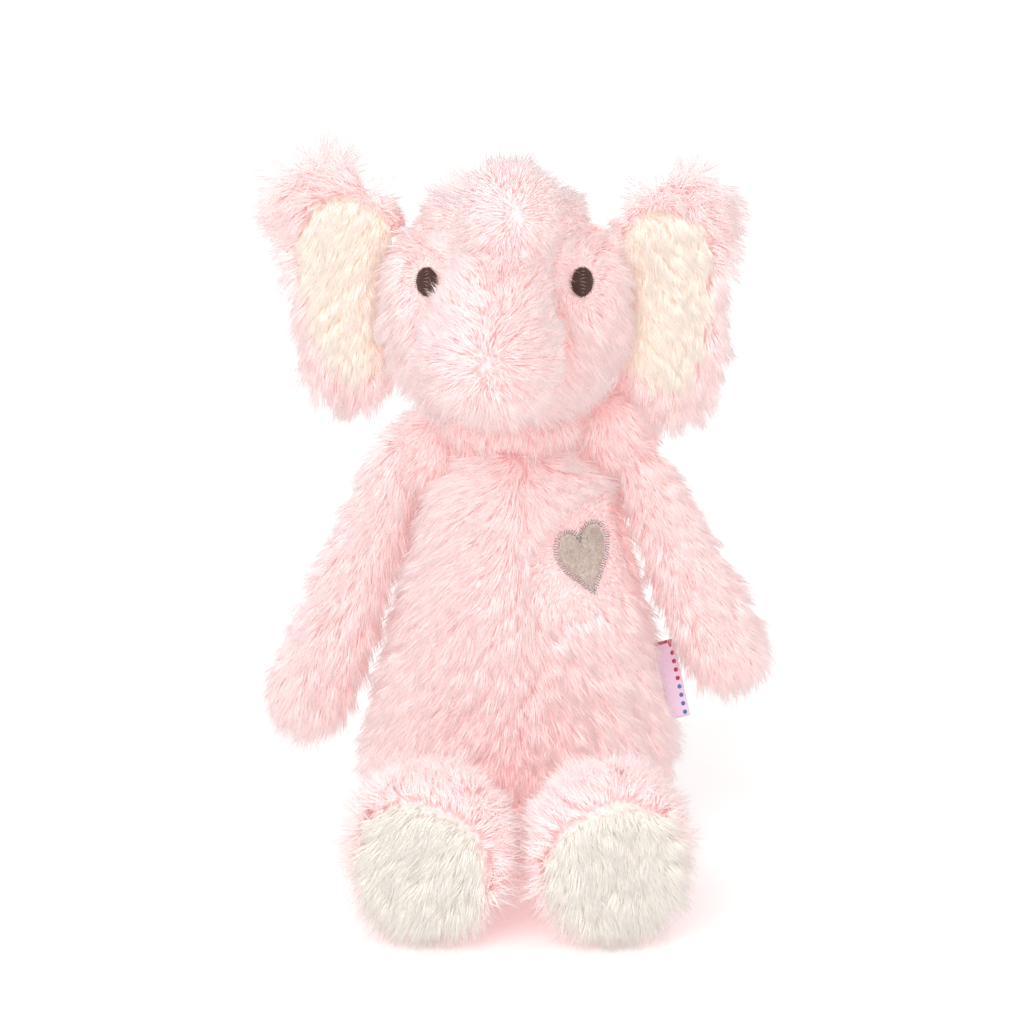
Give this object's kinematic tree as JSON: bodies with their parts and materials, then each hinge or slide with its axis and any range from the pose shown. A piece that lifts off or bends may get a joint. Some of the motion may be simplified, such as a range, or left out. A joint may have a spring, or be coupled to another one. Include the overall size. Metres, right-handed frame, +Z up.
{
  "type": "stuffed elephant",
  "caption": "Seated soft plush elephant with a raised trunk, large lined ears, long arms, padded soles and a heart patch on its chest.",
  "frame": {"origin": "middle of the flat seat under the torso, on the surface the toy sits on", "axes": "+Z up, the toy faces -Y, its own left side is +X"},
  "size_m": [0.2078, 0.2197, 0.3001],
  "materials": {
    "pink_plush": "long soft pile, pale pink with deeper roots",
    "cream_plush": "long soft pile, warm cream",
    "white_plush": "long soft pile, off white",
    "fibre_filling": "loose white polyester fibre",
    "pouch_cloth": "plain woven cotton",
    "plastic_pellets": "smooth translucent white",
    "brown_thread": "satin-stitch embroidery thread",
    "taupe_velour": "short brushed nap",
    "grey_thread": "shiny zigzag embroidery thread",
    "lilac_ribbon": "satin ribbon"
  },
  "bodies": {
    "torso": {"torso_base_panel": "pink_plush", "torso_front_left_panel": "pink_plush", "torso_front_right_panel": "pink_plush", "torso_back_left_panel": "pink_plush", "torso_back_right_panel": "pink_plush", "torso_filling": "fibre_filling", "pellet_pouch_top": "pouch_cloth", "pellet_pouch_bottom": "pouch_cloth", "pouch_pellets": "plastic_pellets", "heart_patch": "taupe_velour", "heart_border_stitching": "grey_thread"},
    "neck": {"neck_filling": "fibre_filling"},
    "head": {"head_face_left_panel": "pink_plush", "head_face_right_panel": "pink_plush", "head_crown_panel": "pink_plush", "head_back_panel": "pink_plush", "head_filling": "fibre_filling", "eye_left": "brown_thread", "eye_right": "brown_thread"},
    "trunk": {"trunk_left_panel": "pink_plush", "trunk_right_panel": "pink_plush", "trunk_filling": "fibre_filling"},
    "ear_left": {"ear_left_back_panel": "pink_plush", "ear_left_rim_panel": "pink_plush", "ear_left_inset_panel": "cream_plush", "ear_left_wadding": "fibre_filling"},
    "ear_right": {"ear_right_back_panel": "pink_plush", "ear_right_rim_panel": "pink_plush", "ear_right_inset_panel": "cream_plush", "ear_right_wadding": "fibre_filling"},
    "shoulder_left": {"shoulder_left_filling": "fibre_filling"},
    "arm_left": {"arm_left_outer_panel": "pink_plush", "arm_left_inner_panel": "pink_plush", "arm_left_filling": "fibre_filling"},
    "shoulder_right": {"shoulder_right_filling": "fibre_filling"},
    "arm_right": {"arm_right_outer_panel": "pink_plush", "arm_right_inner_panel": "pink_plush", "arm_right_filling": "fibre_filling"},
    "hip_left": {"hip_left_filling": "fibre_filling"},
    "leg_left": {"leg_left_top_panel": "pink_plush", "leg_left_under_panel": "pink_plush", "foot_left_sole_panel": "white_plush", "leg_left_filling": "fibre_filling"},
    "hip_right": {"hip_right_filling": "fibre_filling"},
    "leg_right": {"leg_right_top_panel": "pink_plush", "leg_right_under_panel": "pink_plush", "foot_right_sole_panel": "white_plush", "leg_right_filling": "fibre_filling"},
    "tail": {"tail": "pink_plush"},
    "label": {"side_label": "lilac_ribbon"}
  },
  "joints": [
    {"name": "neck_turn", "type": "hinge", "parent": "torso", "child": "neck", "pos_m": [-0.004, 0.003, 0.184], "axis": [0, 0, 1], "range_deg": [-25, 25], "stiffness_Nm_per_rad": 0.6},
    {"name": "head_nod", "type": "hinge", "parent": "neck", "child": "head", "pos_m": [-0.004, 0.003, 0.184], "axis": [1, 0, 0], "range_deg": [-15, 20], "stiffness_Nm_per_rad": 2.5},
    {"name": "trunk_lift", "type": "hinge", "parent": "head", "child": "trunk", "pos_m": [-0.0115, -0.06, 0.229], "axis": [1, 0, 0], "range_deg": [-12, 35], "stiffness_Nm_per_rad": 0.8},
    {"name": "ear_left_flap", "type": "hinge", "parent": "head", "child": "ear_left", "pos_m": [0.0431, 0, 0.236], "axis": [0, 0, 1], "range_deg": [-25, 25], "stiffness_Nm_per_rad": 0.12},
    {"name": "ear_right_flap", "type": "hinge", "parent": "head", "child": "ear_right", "pos_m": [-0.0559, 0, 0.236], "axis": [0, 0, -1], "range_deg": [-25, 25], "stiffness_Nm_per_rad": 0.12},
    {"name": "arm_left_swing", "type": "hinge", "parent": "torso", "child": "shoulder_left", "pos_m": [0.048, 0.003, 0.171], "axis": [1, 0, 0], "range_deg": [-80, 30], "stiffness_Nm_per_rad": 0.4},
    {"name": "arm_left_raise", "type": "hinge", "parent": "shoulder_left", "child": "arm_left", "pos_m": [0.048, 0.003, 0.171], "axis": [0, -1, 0], "range_deg": [-3, 55], "stiffness_Nm_per_rad": 0.4},
    {"name": "arm_right_swing", "type": "hinge", "parent": "torso", "child": "shoulder_right", "pos_m": [-0.0495, 0.003, 0.171], "axis": [1, 0, 0], "range_deg": [-80, 30], "stiffness_Nm_per_rad": 0.4},
    {"name": "arm_right_raise", "type": "hinge", "parent": "shoulder_right", "child": "arm_right", "pos_m": [-0.0495, 0.003, 0.171], "axis": [0, 1, 0], "range_deg": [-3, 55], "stiffness_Nm_per_rad": 0.4},
    {"name": "leg_left_swing", "type": "hinge", "parent": "torso", "child": "hip_left", "pos_m": [0.031, -0.045, 0.02], "axis": [1, 0, 0], "range_deg": [-15, 60], "stiffness_Nm_per_rad": 0.9},
    {"name": "leg_left_splay", "type": "hinge", "parent": "hip_left", "child": "leg_left", "pos_m": [0.031, -0.045, 0.02], "axis": [0, 0, 1], "range_deg": [-3, 25], "stiffness_Nm_per_rad": 0.9},
    {"name": "leg_right_swing", "type": "hinge", "parent": "torso", "child": "hip_right", "pos_m": [-0.031, -0.045, 0.02], "axis": [1, 0, 0], "range_deg": [-15, 60], "stiffness_Nm_per_rad": 0.9},
    {"name": "leg_right_splay", "type": "hinge", "parent": "hip_right", "child": "leg_right", "pos_m": [-0.031, -0.045, 0.02], "axis": [0, 0, -1], "range_deg": [-3, 25], "stiffness_Nm_per_rad": 0.9},
    {"name": "tail_swing", "type": "hinge", "parent": "torso", "child": "tail", "pos_m": [0, 0.061, 0.042], "axis": [1, 0, 0], "range_deg": [-30, 45], "stiffness_Nm_per_rad": 0.02},
    {"name": "label_flap", "type": "hinge", "parent": "torso", "child": "label", "pos_m": [0.0563, 0.001, 0.091], "axis": [-0.2164, 0, 0.9763], "range_deg": [-35, 35], "stiffness_Nm_per_rad": 0.002}
  ]
}
